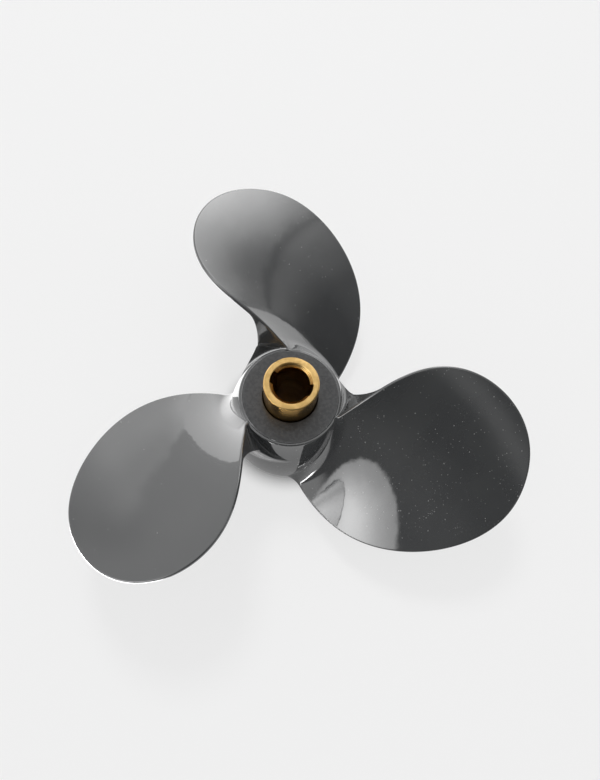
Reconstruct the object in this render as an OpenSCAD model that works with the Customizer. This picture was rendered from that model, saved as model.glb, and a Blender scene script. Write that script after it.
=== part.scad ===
// Propeller of a small outboard motor: a casting of hub and blades, turned by a
// slotted sleeve through a rubber bush.
// The shaft axis is Z with the aft end up, and the blades' reference lines meet it at the origin.
// Heights in this file are counted from the hub's forward face, and at_origin() moves the pieces down
// by the height of the reference lines. All sizes are millimetres and all angles are degrees.

/* [Screw] */
// Diameter over the blade tips
diameter = 190.5; // [165:0.5:220]
// Advance of the blade screw in one turn
pitch = 203.2; // [170:0.1:240]
// Number of blades
blade_count = 3; // [2:1:4]

/* [Hub] */
// Length of the hub, forward face to aft face
hub_length = 38; // [34:0.5:44]
// Diameter of the hub's flank where it meets the aft face
hub_aft_d = 39.7; // [36:0.1:42]
// Diameter of the hub's flank where it meets the forward face
hub_fwd_d = 51; // [50:0.1:60]
// Bulge of the hub's flank beyond a straight cone, at half its length
hub_bulge = 1.8; // [0:0.1:3]
// Rounding of the forward corner
fwd_round = 3; // [1:0.5:6]
// Rounding of the shoulder around the aft face
aft_round = 0.8; // [0.5:0.1:2]
// Width of the flat shoulder around the raised aft face
lip_w = 0.4; // [0.2:0.1:3]
// Height of the raised aft face above its shoulder
lip_h = 0.6; // [0.5:0.1:1.5]
// Rounding of the raised aft face's rim
lip_round = 0.3; // [0.2:0.1:0.5]
// Thickness of the hub's aft wall
aft_wall = 5; // [3:0.5:8]

/* [Coring of the forward face] */
// Wall of the boss around the rubber bush
boss_wall = 3; // [2:0.1:4]
// Width of the pocket at the forward face
pocket_w = 4.2; // [3:0.1:5]
// Width of the pocket at its floor
pocket_floor_w = 2; // [1:0.1:2.8]
// Depth of the pocket
pocket_depth = 12; // [6:0.5:14]
// Thickness of the ribs that cross the pocket
rib_t = 4; // [2:0.5:6]
// Depth of the ribs below the forward face
rib_setback = 2.5; // [1:0.5:5]

/* [Blade outline] */
// Angle of the tip ahead of the blade's reference line
tip_skew = 6.8; // [0:0.1:12]
// Height of the reference line below the aft face
ref_drop = 2.9; // [0:0.1:6]
// Depth of the blade root inside the hub's flank
root_embed = 2.4; // [1.5:0.1:3]
// Height of the leading edge's root above the forward face
le_root_rise = 3; // [2.5:0.1:6]
// Drop of the trailing edge's root below the aft face
te_root_drop = 4.2; // [3.5:0.1:16]
// Leading edge's heel point, out along the reference line
le_heel_out = 50; // [44:0.5:60]
// Leading edge's heel point, ahead of the reference line
le_heel_side = 47; // [38:0.5:54]
// Leading edge's shoulder point, out along the reference line
le_shoulder_out = 72; // [60:0.5:80]
// Leading edge's shoulder point, ahead of the reference line
le_shoulder_side = 29.5; // [24:0.5:38]
// Pull of the leading edge along the tip
le_tip_pull = 26; // [18:0.5:34]
// Trailing edge's heel point, out along the reference line
te_heel_out = 40.5; // [28:0.5:48]
// Trailing edge's heel point, behind the reference line
te_heel_side = 25; // [8:0.5:30]
// Trailing edge's shoulder point, out along the reference line
te_shoulder_out = 32; // [24:0.5:40]
// Trailing edge's shoulder point, behind the reference line
te_shoulder_side = 43; // [36:0.5:58]
// Pull of the trailing edge along the tip
te_tip_pull = 42.5; // [32:0.5:48]

/* [Blade section] */
// Thickness at the middle of the root section
root_t = 7; // [4:0.1:9]
// Thickness at the edges and the tip
edge_t = 1.6; // [1:0.1:2.5]
// Rounding of the edges in plan
edge_round = 0.7; // [0.3:0.1:1.2]
// Root fillet on the pressure face
face_fillet = 4; // [2:0.5:6]
// Root fillet on the back at the leading edge
le_fillet = 3; // [2:0.5:4]
// Width of the web behind the trailing edge, where it leaves the hub's flank
web_w = 20; // [14:0.5:30]
// Reach of the web along the trailing edge
web_reach = 15.5; // [8:0.5:20]

/* [Drive sleeve] */
// Outer diameter of the sleeve
sleeve_d = 21; // [19:0.1:23]
// Length of the sleeve aft of the hub's aft face
sleeve_reach = 14.7; // [8:0.1:20]
// Depth of the sleeve's forward end below the hub's forward face
sleeve_setback = 1.5; // [0.5:0.1:3]
// Diameter of the shaft bore
bore_d = 13.5; // [12:0.1:14.5]
// Width of each drive slot
slot_w = 4.8; // [3:0.1:5]
// Distance across the floors of the two drive slots
slot_d = 16.4; // [15.5:0.1:17]
// Depth of the chamfer at the mouths of the bore
mouth_depth = 1.6; // [0.5:0.1:2.5]
// Chamfer of the sleeve's outer edges
sleeve_edge = 0.5; // [0.2:0.1:1]
// Direction of the slots about the shaft
slot_angle = -20; // [-90:1:90]

/* [Rubber bush] */
// Wall of the rubber
rubber_wall = 4.6; // [4:0.1:5.5]
// Depth of the rubber's forward end below the hub's forward face
rubber_setback = 4; // [2:0.5:7]
// Chamfer of the rubber's outer edges
rubber_edge = 1.2; // [0.5:0.1:2]

/* [Clearances] */
// Radial clearance between the rubber and the hub's bore
rubber_gap = 0.05; // [0.02:0.01:0.1]
// Clearance between the rubber's aft end and the hub's aft wall
seat_gap = 0.2; // [0.1:0.05:0.5]
// Radial clearance between the sleeve and the hole in the aft wall
sleeve_gap = 0.4; // [0.3:0.1:1]

/* [Hidden] */
$fn = 96;

// Overlap of the cutting tools past the faces that they cut
over = 1;
// Steps of the hub's flank
flank_steps = 5;
// Rows of the blade through its root fillet, and from there to its tip
fillet_rows = 8;
span_rows = 15;
// Columns of the blade from edge to edge
columns = 12;
// Power with which the web fades from the trailing edge to the leading edge
web_fade = 3;
// Depth at which the root fillets run out inside the hub's flank
fillet_bite = 0.35;
// Halvings in the search for a point along an edge
halvings = 20;
// Direction of the first blade's reference line
first_blade = 90;

tip_r = diameter / 2;
hub_aft_r = hub_aft_d / 2;
hub_fwd_r = hub_fwd_d / 2;
sleeve_r = sleeve_d / 2;
rubber_r = sleeve_r + rubber_wall;
hub_bore_r = rubber_r + rubber_gap;
hub_bore_depth = hub_length - aft_wall;
boss_r = hub_bore_r + boss_wall;

// Height and angles of the blade's root, on the screw surface
ref_z = hub_length - ref_drop;
degrees_per_mm = 360 / pitch;
le_root_a = (le_root_rise - ref_z) * degrees_per_mm;
te_root_a = (hub_length - te_root_drop - ref_z) * degrees_per_mm;
root_mid_a = (le_root_a + te_root_a) / 2;

function mix(a, b, s) = a + (b - a) * s;
function clamp(x, low, high) = min(max(x, low), high);
function polar(r, a) = r * [cos(a), sin(a)];
function angle_of(p) = atan2(p.y, p.x);
function arc(c, r, a0, a1, steps = 6) = [for (i = [0:steps]) c + polar(r, mix(a0, a1, i / steps))];

// Radius of the hub's flank at a height, held at its ends beyond the hub, and its lean to the shaft axis
function hub_r(z) =
    let (s = clamp(z / hub_length, 0, 1))
    mix(hub_fwd_r, hub_aft_r, s) + 4 * hub_bulge * s * (1 - s);
function hub_lean(z) = atan((hub_fwd_r - hub_aft_r - 4 * hub_bulge * (1 - 2 * z / hub_length)) / hub_length);

// Height at which a round of radius r, with its centre at a height, touches the flank, and its centre
function round_top(r, z) = z + r * sin(hub_lean(z));
function round_centre(r, z) = [hub_r(round_top(r, z)) - r * cos(hub_lean(z)), z];

aft_round_z = hub_length - lip_h - aft_round;
flank_z0 = round_top(fwd_round, fwd_round);
flank_z1 = round_top(aft_round, aft_round_z);
lip_r = round_centre(aft_round, aft_round_z)[0] - lip_w;
hub_profile = concat(
    [[0, 0]],
    arc(round_centre(fwd_round, fwd_round), fwd_round, -90, hub_lean(fwd_round), 10),
    [for (i = [1:flank_steps - 1]) let (z = mix(flank_z0, flank_z1, i / flank_steps)) [hub_r(z), z]],
    arc(round_centre(aft_round, aft_round_z), aft_round, hub_lean(aft_round_z), 90),
    [[lip_r, hub_length - lip_h]],
    arc([lip_r - lip_round, hub_length - lip_round], lip_round, 0, 90, 4),
    [[0, hub_length]]
);

// Point on a curve that a chain of control points pulls, and the way the curve runs there
function bezier(p, t) =
    len(p) == 1 ? p[0] : bezier([for (i = [0:len(p) - 2]) mix(p[i], p[i + 1], t)], t);
function bezier_way(p, t) =
    let (last = len(p) - 1)
    let (way = bezier([for (i = [1:last]) p[i]], t) - bezier([for (i = [0:last - 1]) p[i]], t))
    way / norm(way);

// Blade edges as seen along the shaft, from the root to the tip, about a reference line on +X
tip = polar(tip_r, tip_skew);
tip_way = polar(1, tip_skew + 90);
le_curve = [
    polar(hub_r(le_root_rise) - root_embed, le_root_a),
    [le_heel_out, -le_heel_side],
    [le_shoulder_out, -le_shoulder_side],
    tip - le_tip_pull * tip_way,
    tip
];
te_curve = [
    polar(hub_r(hub_length - te_root_drop) - root_embed, te_root_a),
    [te_heel_out, te_heel_side],
    [te_shoulder_out, te_shoulder_side],
    tip + te_tip_pull * tip_way,
    tip
];

// Height of the screw surface at an angle, and the distance of its points from the hub's flank
function screw_z(a) = ref_z + a / degrees_per_mm;
function wall_distance(r, a) = r - hub_r(screw_z(a));

// Place along an edge at a distance from the flank, found by halving
function place_at(curve, distance, low = 0, high = 1, left = halvings) =
    let (middle = (low + high) / 2)
    let (p = bezier(curve, middle))
    left == 0 ? middle
        : wall_distance(norm(p), angle_of(p)) < distance ? place_at(curve, distance, middle, high, left - 1)
        : place_at(curve, distance, low, middle, left - 1);

// Places of the rows along an edge: the root, the fillet, closer at the hub, then the span, closer at the tip
function edge_places(curve) =
    let (fillet_places = [for (i = [0:fillet_rows])
        place_at(curve, web_reach * pow(i / fillet_rows, 2) - fillet_bite)])
    concat([0], fillet_places,
        [for (i = [1:span_rows]) mix(fillet_places[fillet_rows], 1, sin(90 * i / span_rows))]);
le_places = edge_places(le_curve);
te_places = edge_places(te_curve);
rows = fillet_rows + span_rows + 1;

// Edge point set in from the outline; side is 1 at the trailing edge and -1 at the leading edge
function edge_point(curve, side, t) =
    let (way = bezier_way(curve, t))
    bezier(curve, t) + edge_round * side * [way.y, -way.x];

// Radius and angle of a point between the leading edge (u = 0) and the trailing edge (u = 1)
function chord_point(k, u) =
    let (le = edge_point(le_curve, -1, le_places[k]))
    let (te = edge_point(te_curve, 1, te_places[k]))
    [mix(norm(le), norm(te), u), mix(angle_of(le), angle_of(te), u)];

// Point at radius r and angle a of the screw surface, moved n square to the surface, aft for n > 0
function on_screw(r, a, n) =
    let (lead = atan(pitch / (2 * PI * r)))
    let (turned = a - n * sin(lead) / r * 180 / PI)
    [r * cos(turned), r * sin(turned), screw_z(a) + n * cos(lead)];

// Width left of a parabolic fillet at a distance from the flank that it leaves
function fillet(width, reach, distance) = width * pow(1 - clamp((distance + fillet_bite) / reach, 0, 1), 2);

// Offsets of the pressure face and of the back from the screw surface
function face_offset(r, a) = fillet(face_fillet, face_fillet, wall_distance(r, a));
function thickness(r, u) =
    let (s = clamp((r - hub_aft_r) / (tip_r - hub_aft_r), 0, 1))
    edge_t + (root_t - edge_t) * (1 - s) * 4 * u * (1 - u);
function back_offset(r, a, u) =
    let (web = pow(u, web_fade))
    -thickness(r, u) - fillet(mix(le_fillet, web_w, web), mix(le_fillet, web_reach, web), wall_distance(r, a));

function face_at(k, u) = let (p = chord_point(k, u)) on_screw(p[0], p[1], face_offset(p[0], p[1]));
function back_at(k, u) = let (p = chord_point(k, u)) on_screw(p[0], p[1], back_offset(p[0], p[1], u));
function rim_at(curve, t, u) =
    let (p = bezier(curve, t))
    let (r = norm(p))
    let (a = angle_of(p))
    on_screw(r, a, (face_offset(r, a) + back_offset(r, a, u)) / 2);

// Points of one blade: pressure face, back and rim, each ending in its tip point
side_points = rows * (columns + 1);
blade_points = concat(
    [for (k = [0:rows - 1], j = [0:columns]) face_at(k, j / columns)], [face_at(rows, 0.5)],
    [for (k = [0:rows - 1], j = [0:columns]) back_at(k, j / columns)], [back_at(rows, 0)],
    [for (k = [0:rows - 1]) rim_at(le_curve, le_places[k], 0)],
    [for (k = [0:rows]) rim_at(te_curve, te_places[k], 1)]
);

// Numbers of those points, where row number rows is the tip
function face_id(k, j) = k == rows ? side_points : k * (columns + 1) + j;
function back_id(k, j) = side_points + 1 + face_id(k, j);
function le_id(k) = 2 * (side_points + 1) + (k == rows ? 2 * rows : k);
function te_id(k) = 2 * (side_points + 1) + rows + k;

function quad(a, b, c, d) = [[a, b, c], [a, c, d]];

// Two triangles for each cell of a side, and one where the cell closes at the tip
function face_cell(k, j) =
    k == rows - 1
        ? [[face_id(k, j), face_id(k, j + 1), face_id(rows, 0)]]
        : quad(face_id(k, j), face_id(k, j + 1), face_id(k + 1, j + 1), face_id(k + 1, j));
function back_cell(k, j) =
    k == rows - 1
        ? [[back_id(k, j + 1), back_id(k, j), back_id(rows, 0)]]
        : quad(back_id(k, j + 1), back_id(k, j), back_id(k + 1, j), back_id(k + 1, j + 1));
function le_cell(k) = concat(
    quad(face_id(k, 0), face_id(k + 1, 0), le_id(k + 1), le_id(k)),
    quad(le_id(k), le_id(k + 1), back_id(k + 1, 0), back_id(k, 0))
);
function te_cell(k) = concat(
    quad(face_id(k + 1, columns), face_id(k, columns), te_id(k), te_id(k + 1)),
    quad(te_id(k + 1), te_id(k), back_id(k, columns), back_id(k + 1, columns))
);
function root_cell(j) = quad(face_id(0, j + 1), face_id(0, j), back_id(0, j), back_id(0, j + 1));

blade_faces = concat(
    [for (k = [0:rows - 1], j = [0:columns - 1]) each face_cell(k, j)],
    [for (k = [0:rows - 1], j = [0:columns - 1]) each back_cell(k, j)],
    [for (k = [0:rows - 1]) each le_cell(k)],
    [for (k = [0:rows - 1]) each te_cell(k)],
    [for (j = [0:columns - 1]) each root_cell(j)],
    [[face_id(0, 0), le_id(0), back_id(0, 0)]],
    [[face_id(0, columns), back_id(0, columns), te_id(0)]]
);

// Heights counted from the hub's forward face, moved to the origin
module at_origin() {
    translate([0, 0, -ref_z]) children();
}

// A cone or cylinder between two heights
module turned(z0, r0, z1, r1) {
    translate([0, 0, z0]) cylinder(h = z1 - z0, r1 = r0, r2 = r1);
}

module blade() {
    polyhedron(blade_points, blade_faces, convexity = 4);
}

module blades() {
    for (i = [0:blade_count - 1])
        rotate(first_blade + 360 * i / blade_count) blade();
}

// Seat of the rubber bush, its lead-in, and the hole for the sleeve
module hub_bore() {
    turned(-over, hub_bore_r, hub_bore_depth, hub_bore_r);
    turned(-over, hub_bore_r + rubber_edge + over, rubber_edge, hub_bore_r);
    turned(0, sleeve_r + sleeve_gap, hub_length + over, sleeve_r + sleeve_gap);
}

// Ring pocket in the forward face, crossed by one rib under each blade
module coring() {
    difference() {
        rotate_extrude()
            polygon([
                [boss_r, -over],
                [boss_r + pocket_w, -over],
                [boss_r + pocket_w, 0],
                [boss_r + pocket_floor_w, pocket_depth],
                [boss_r, pocket_depth]
            ]);
        for (i = [0:blade_count - 1])
            rotate(first_blade + root_mid_a + 360 * i / blade_count)
                translate([0, -rib_t / 2, rib_setback])
                    cube([boss_r + pocket_w + over, rib_t, pocket_depth]);
    }
}

module propeller() {
    color([0.27, 0.28, 0.29])
        at_origin() difference() {
            union() {
                rotate_extrude() polygon(hub_profile);
                blades();
            }
            hub_bore();
            coring();
        }
}

module rubber_damper() {
    z0 = rubber_setback;
    z1 = hub_bore_depth - seat_gap;
    color([0.09, 0.09, 0.09])
        at_origin() rotate_extrude()
            polygon([
                [sleeve_r, z0],
                [rubber_r - rubber_edge, z0],
                [rubber_r, z0 + rubber_edge],
                [rubber_r, z1 - rubber_edge],
                [rubber_r - rubber_edge, z1],
                [sleeve_r, z1]
            ]);
}

module drive_sleeve() {
    z0 = sleeve_setback;
    z1 = hub_length + sleeve_reach;
    bore_r = bore_d / 2;
    slot_r = slot_d / 2;
    mouth_slope = (slot_r - bore_r) / mouth_depth;
    mouth_over_r = slot_r + over * mouth_slope;
    color([0.76, 0.58, 0.27])
        at_origin() difference() {
            rotate_extrude()
                polygon([
                    [bore_r, z0],
                    [sleeve_r - sleeve_edge, z0],
                    [sleeve_r, z0 + sleeve_edge],
                    [sleeve_r, z1 - sleeve_edge],
                    [sleeve_r - sleeve_edge, z1],
                    [bore_r, z1]
                ]);
            turned(z0 - over, mouth_over_r, z0 + mouth_depth, bore_r);
            turned(z1 - mouth_depth, bore_r, z1 + over, mouth_over_r);
            intersection() {
                turned(z0 - over, slot_r, z1 + over, slot_r);
                rotate(slot_angle)
                    translate([-slot_d, -slot_w / 2, z0 - over])
                        cube([2 * slot_d, slot_w, z1 - z0 + 2 * over]);
            }
        }
}

propeller();
rubber_damper();
drive_sleeve();
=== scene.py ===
"""Looks of the propeller: a painted casting, a brass drive sleeve and a rubber bush, on a pale floor."""

import math

import bmesh
import bpy
import numpy as np
from mathutils import Matrix, Vector
from mathutils.geometry import delaunay_2d_cdt


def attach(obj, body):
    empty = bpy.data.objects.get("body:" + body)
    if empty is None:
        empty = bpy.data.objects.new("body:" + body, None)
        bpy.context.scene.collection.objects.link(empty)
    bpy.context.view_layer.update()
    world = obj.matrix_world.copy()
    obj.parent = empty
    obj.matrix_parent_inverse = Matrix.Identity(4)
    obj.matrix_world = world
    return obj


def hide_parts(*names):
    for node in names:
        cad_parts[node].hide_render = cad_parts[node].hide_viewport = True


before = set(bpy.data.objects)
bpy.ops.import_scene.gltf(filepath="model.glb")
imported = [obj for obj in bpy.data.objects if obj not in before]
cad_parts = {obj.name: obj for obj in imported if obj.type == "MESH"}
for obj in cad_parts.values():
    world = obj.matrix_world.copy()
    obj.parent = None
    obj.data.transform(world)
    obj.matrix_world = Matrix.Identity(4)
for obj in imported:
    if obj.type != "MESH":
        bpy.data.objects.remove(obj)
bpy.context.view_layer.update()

# Sizes of the part: millimetres and degrees, heights counted from the hub's forward face
MM = 0.001
BLADES = 3
SECTOR = 360 / BLADES
FIRST_BLADE = 90
TIP_R = 95.25
PITCH = 203.2
TURN_PER_MM = 360 / PITCH
HUB_LENGTH = 38.0
HUB_AFT_R = 19.85
HUB_FWD_R = 25.5
HUB_BULGE = 1.8
FWD_ROUND = 3.0
AFT_ROUND = 0.8
LIP_W = 0.4
LIP_H = 0.6
LIP_ROUND = 0.3
AFT_WALL = 5.0
HUB_BORE_R = 15.15
SLEEVE_HOLE_R = 10.9
BOSS_R = 18.15
LEAD_IN = 1.2
POCKET_W = 4.2
POCKET_FLOOR_W = 2.0
POCKET_DEPTH = 12.0
RIB_HALF = 2.0
RIB_SETBACK = 2.5
REF_Z = 35.1
TIP_SKEW = 6.8
ROOT_EMBED = 2.4
LE_ROOT_RISE = 3.0
TE_ROOT_DROP = 4.2
ROOT_T = 7.0
EDGE_T = 1.6
SLEEVE_R = 10.5
SLEEVE_BORE_R = 6.75
SLEEVE_Z0 = 1.5
SLEEVE_Z1 = 52.7
SLOT_HALF = 2.4
SLOT_R = 8.2
SLOT_ANGLE = -20
MOUTH_DEPTH = 1.6
SLEEVE_EDGE = 0.5
RUBBER_R = 15.1
RUBBER_Z0 = 4.0
RUBBER_Z1 = 32.8
RUBBER_EDGE = 1.2

# Points that pull a blade's edges, out along its reference line and to the side of it, and the tip's pull
LE_HEEL = (50, -47)
LE_SHOULDER = (72, -29.5)
LE_TIP_PULL = 26
TE_HEEL = (40.5, 25)
TE_SHOULDER = (32, 43)
TE_TIP_PULL = 42.5

# Root fillets of the blades in this mesh: width, and reach along the blade
FACE_FILLET = (4.0, 4.5)
LE_FILLET = (2.4, 3.0)
WEB = (22.5, 14.0)
TE_FACE_FILLET_W = 1.0
LE_END_FILLET = (0.9, 3.0)
TE_END_FILLET = (0.7, 2.6)

# Roundness of the fillets, fade of the web across the blade, and fade of the flank's shape along it
FILLET_POWER = 1.5
WEB_FADE = 3
FLANK_FADE = 25

# Round of the blade's edges, larger at the leading edge's root, and the most it takes of half the thickness
EDGE_ROUND = 0.6
ROOT_ROUND = 2.2
ROOT_ROUND_REACH = 7.0
ROUND_SHARE = 0.75

# Small rounds and eased corners of the inside, the aft face, the sleeve and the bush
RIM_ROUND = 0.2
POCKET_ROUND = 0.7
BOSS_ROUND = 0.4
HOLE_ROUND = 0.3
HOLE_CHAMFER = 0.2
BORE_END_CHAMFER = 0.1
LEAD_IN_EASE = 0.2
SHOULDER_ROUND = 0.15
RIB_SIDE_IN = 0.4
RIB_SIDE_W = 1.1
CHAMFER_EASE = 0.15
MOUTH_EASE = 1.12
SLOT_FLARE = 0.8
RUBBER_DISH = 0.7
RUBBER_DISH_POWER = 0.8
RUBBER_EASE = 0.2
RUBBER_SETBACK = 0.1

# Fineness of the meshes: steps, rows, columns, and how close they lie
PROFILE_STEPS = (90, 201, 60)
EDGE_SAMPLES = 4001
FILLET_ROWS = 28
ROW_CROWDING = 2.5
SPAN_ROWS = 70
INNER_COLUMNS = 58
EDGE_COLUMNS = np.array([0, 0.03, 0.11, 0.25, 0.44, 0.68, 1.0, 1.45])
EDGE_BAND = 1.3
EDGE_BAND_MOST = 0.2
END_COLUMNS = 8
SECTOR_DIVISIONS = 64
FLANK_ROWS = (13, 38, 11)
POCKET_ROUND_ANGLES = (25, 50, 70, 90)
SLOT_WALL_SHARES = (0.06, 0.35, 0.65, 0.94)
BUSH_DIVISIONS = 128

# The flank is unrolled at a radius from a start angle, and its points keep a gap from the blade's root
FLANK_START = -22.0
FLANK_R = 23
FLANK_GAP = 0.4

# Distance in metres at which rims are joined, and a guard against division by nothing
JOIN_DISTANCE = 2e-6
TINY = 1e-6


def mix(a, b, s):
    return a + (b - a) * s


def smooth_step(x):
    x = np.clip(x, 0, 1)
    return x * x * (3 - 2 * x)


def polar(r, a):
    return np.array([r * math.cos(math.radians(a)), r * math.sin(math.radians(a))])


def arc(centre, r, a0, a1, steps):
    return [tuple(centre + polar(r, mix(a0, a1, i / steps))) for i in range(steps + 1)]


def plan(r, angle):
    """Points at radii and angles, as seen along the shaft."""
    a = np.radians(angle)
    return np.stack([r * np.cos(a), r * np.sin(a)], -1)


def to_xyz(r, angle, z):
    heights = np.broadcast_to(z, np.shape(r))
    return np.concatenate([plan(r, angle), heights[..., None]], -1)


def turn(points, degrees):
    """Points turned about the shaft, anticlockwise as seen from aft."""
    a = math.radians(degrees)
    matrix = np.array([[math.cos(a), math.sin(a), 0], [-math.sin(a), math.cos(a), 0], [0, 0, 1]])
    return np.asarray(points) @ matrix


def hub_r(z):
    """Radius of the hub's flank at a height, without its rounded corners."""
    s = np.clip(np.asarray(z, float) / HUB_LENGTH, 0, 1)
    return mix(HUB_FWD_R, HUB_AFT_R, s) + 4 * HUB_BULGE * s * (1 - s)


def hub_lean(z):
    """How far the flank leans in at a height, in degrees."""
    fall = HUB_FWD_R - HUB_AFT_R - 4 * HUB_BULGE * (1 - 2 * z / HUB_LENGTH)
    return math.degrees(math.atan(fall / HUB_LENGTH))


def round_centre(r, z):
    """Centre, at a height, of a corner round that touches the flank."""
    lean = math.radians(hub_lean(z))
    return np.array([float(hub_r(z + r * math.sin(lean))) - r * math.cos(lean), z])


def screw_z(a):
    """Height of the screw surface at an angle."""
    return REF_Z + a / TURN_PER_MM


def screw_turn(z):
    """Angle of the screw surface at a height."""
    return (z - REF_Z) * TURN_PER_MM


def bezier(points, t):
    """Points of the curve that a chain of control points pulls, at an array of places."""
    t = np.asarray(t, float)[:, None]
    level = [np.broadcast_to(p, (len(t), 2)) for p in points]
    while len(level) > 1:
        level = [mix(level[i], level[i + 1], t) for i in range(len(level) - 1)]
    return level[0]


def fillet(width, reach, distance):
    """Width left of a fillet at a distance from the wall that it leaves, flush with both."""
    x = 1 - np.clip(distance / reach, 0, 1)
    return width * (1 - (1 - x**FILLET_POWER) ** (1 / FILLET_POWER))


# Profile of the hub's flank with its rounded corners, by height and by length along it
fwd_steps, flank_steps, aft_steps = PROFILE_STEPS
fwd_centre = round_centre(FWD_ROUND, FWD_ROUND)
aft_round_z = HUB_LENGTH - LIP_H - AFT_ROUND
aft_centre = round_centre(AFT_ROUND, aft_round_z)
fwd_arc = arc(fwd_centre, FWD_ROUND, -90, hub_lean(FWD_ROUND), fwd_steps)
aft_arc = arc(aft_centre, AFT_ROUND, hub_lean(aft_round_z), 90, aft_steps)
flank_z = np.linspace(fwd_arc[-1][1], aft_arc[0][1], flank_steps + 1)[1:-1]
profile = np.array(fwd_arc + [(float(hub_r(z)), z) for z in flank_z] + aft_arc)
profile_p = np.r_[0, np.cumsum(np.hypot(*np.diff(profile, axis=0).T))]
LIP_R = profile[-1, 0] - LIP_W

# Edges of a blade as seen along the shaft, about a reference line on +X
tip = polar(TIP_R, TIP_SKEW)
tip_way = polar(1, TIP_SKEW + 90)
le_root_a = screw_turn(LE_ROOT_RISE)
te_root_a = screw_turn(HUB_LENGTH - TE_ROOT_DROP)
le_curve = [
    polar(float(hub_r(LE_ROOT_RISE)) - ROOT_EMBED, le_root_a),
    np.array(LE_HEEL),
    np.array(LE_SHOULDER),
    tip - LE_TIP_PULL * tip_way,
    tip,
]
te_curve = [
    polar(float(hub_r(HUB_LENGTH - TE_ROOT_DROP)) - ROOT_EMBED, te_root_a),
    np.array(TE_HEEL),
    np.array(TE_SHOULDER),
    tip + TE_TIP_PULL * tip_way,
    tip,
]


def place_at(curve, distance):
    """Place along an edge at a distance from the hub's flank."""
    t = np.linspace(0, 1, EDGE_SAMPLES)
    xy = bezier(curve, t)
    wall = np.hypot(*xy.T) - hub_r(screw_z(np.degrees(np.arctan2(xy[:, 1], xy[:, 0]))))
    first = int(np.argmax(wall >= distance))
    if first == 0:
        return 0.0
    return float(np.interp(distance, wall[first - 1:first + 1], t[first - 1:first + 1]))


def edge_rows(curve):
    """Radius, angle and distance from the flank of the rows along an edge, closer in the root fillet."""
    fillet_d = WEB[1] * (np.arange(FILLET_ROWS + 1) / FILLET_ROWS) ** ROW_CROWDING
    near = [place_at(curve, d) for d in fillet_d]
    t = np.r_[near, np.linspace(near[-1], 1, SPAN_ROWS + 1)[1:]]
    xy = bezier(curve, t)
    r = np.hypot(*xy.T)
    a = np.degrees(np.arctan2(xy[:, 1], xy[:, 0]))
    return r, a, r - hub_r(screw_z(a))


def column_shares(chord, le_round, te_round):
    """Shares of the chord at which each row has its columns, closer at the edges."""
    rows = []
    for width, *rounds in zip(chord, le_round, te_round):
        le_band, te_band = [min(EDGE_BAND * r / max(width, TINY), EDGE_BAND_MOST) for r in rounds]
        left = EDGE_COLUMNS * le_band
        right = 1 - EDGE_COLUMNS[::-1] * te_band
        inner = np.linspace(left[-1], right[0], INNER_COLUMNS + 2)[1:-1]
        rows.append(np.r_[left, inner, right])
    return np.array(rows)


def outline_gap(r, a, le_round, te_round):
    """Distance of each point to the blade's outline in plan, and the edge round at the nearest place."""
    corner = plan(np.r_[r[:, 0], r[::-1, -1]], np.r_[a[:, 0], a[::-1, -1]])
    rounds = np.r_[le_round, te_round[::-1]]
    keep = np.r_[True, np.hypot(*np.diff(corner, axis=0).T) > 1e-9]
    corner, rounds = corner[keep], rounds[keep]
    start, way = corner[:-1], np.diff(corner, axis=0)
    length2 = (way**2).sum(1)
    inset = np.empty(a.size)
    edge_r = np.empty(a.size)
    for i, point in enumerate(plan(r, a).reshape(-1, 2)):
        s = np.clip(((point - start) * way).sum(1) / length2, 0, 1)
        gap = np.hypot(*(start + way * s[:, None] - point).T)
        j = int(gap.argmin())
        inset[i] = gap[j]
        edge_r[i] = mix(rounds[j], rounds[j + 1], s[j])
    return inset.reshape(a.shape), edge_r.reshape(a.shape)


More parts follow.
